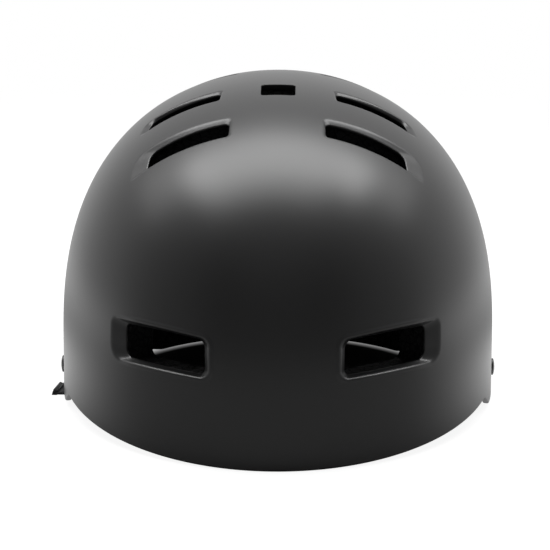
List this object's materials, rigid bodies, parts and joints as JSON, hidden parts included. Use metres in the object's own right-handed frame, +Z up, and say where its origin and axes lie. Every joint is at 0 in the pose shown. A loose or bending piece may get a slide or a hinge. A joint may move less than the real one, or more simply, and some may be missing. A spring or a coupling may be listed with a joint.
{
  "type": "skateboard helmet",
  "caption": "Round hard-shell skate helmet with recessed vents, foam liner, pads and a buckled strap harness tucked inside.",
  "frame": {"origin": "middle of the rim's resting plane, half way between brow and nape", "axes": "-Y towards the brow, +X towards the wearer's left, +Z up through the crown"},
  "size_m": [0.22, 0.262, 0.1612],
  "materials": {
    "shell": "satin charcoal, finely grained",
    "foam": "black moulded bead foam",
    "pad_cloth": "brushed black cloth",
    "hook_tape": "hook tape",
    "webbing": "woven black webbing",
    "buckle": "fine grain",
    "keeper": "matt",
    "rivet": "satin black",
    "washer": "plated"
  },
  "bodies": {
    "helmet": {"outer_shell": "shell", "eps_liner": "foam", "brow_pad": "pad_cloth", "side_pad_left": "pad_cloth", "side_pad_right": "pad_cloth", "rear_pad": "pad_cloth", "crown_pad": "pad_cloth", "hook_patches": "hook_tape", "side_rivet_left": "rivet", "side_rivet_right": "rivet", "rear_rivet_left": "rivet", "rear_rivet_right": "rivet", "side_washer_left": "washer", "side_washer_right": "washer", "rear_washer_left": "washer", "rear_washer_right": "washer", "strap_left": "webbing", "strap_right": "webbing", "chin_strap": "webbing", "buckle_socket": "buckle", "buckle_plug": "buckle"},
    "left_divider": {"divider_left": "buckle"},
    "right_divider": {"divider_right": "buckle"},
    "keeper": {"keeper_ring": "keeper"},
    "front_arm": {"buckle_arm_front": "buckle"},
    "rear_arm": {"buckle_arm_rear": "buckle"}
  },
  "joints": [
    {"name": "divider_left_slide", "type": "slide", "parent": "helmet", "child": "left_divider", "axis": [0, 0, 1], "range_m": [0, 0.01]},
    {"name": "divider_right_slide", "type": "slide", "parent": "helmet", "child": "right_divider", "axis": [0, 0, 1], "range_m": [0, 0.01]},
    {"name": "keeper_slide", "type": "slide", "parent": "helmet", "child": "keeper", "axis": [0, 0, 1], "range_m": [0, 0.008]},
    {"name": "front_arm_flex", "type": "hinge", "parent": "helmet", "child": "front_arm", "pos_m": [-0.0106, 0.0008, 0.116], "axis": [0, 0, 1], "range_deg": [0, 11], "stiffness_Nm_per_rad": 1.2},
    {"name": "rear_arm_flex", "type": "hinge", "parent": "helmet", "child": "rear_arm", "pos_m": [-0.0106, 0.0152, 0.116], "axis": [0, 0, -1], "range_deg": [0, 11], "stiffness_Nm_per_rad": 1.2}
  ]
}
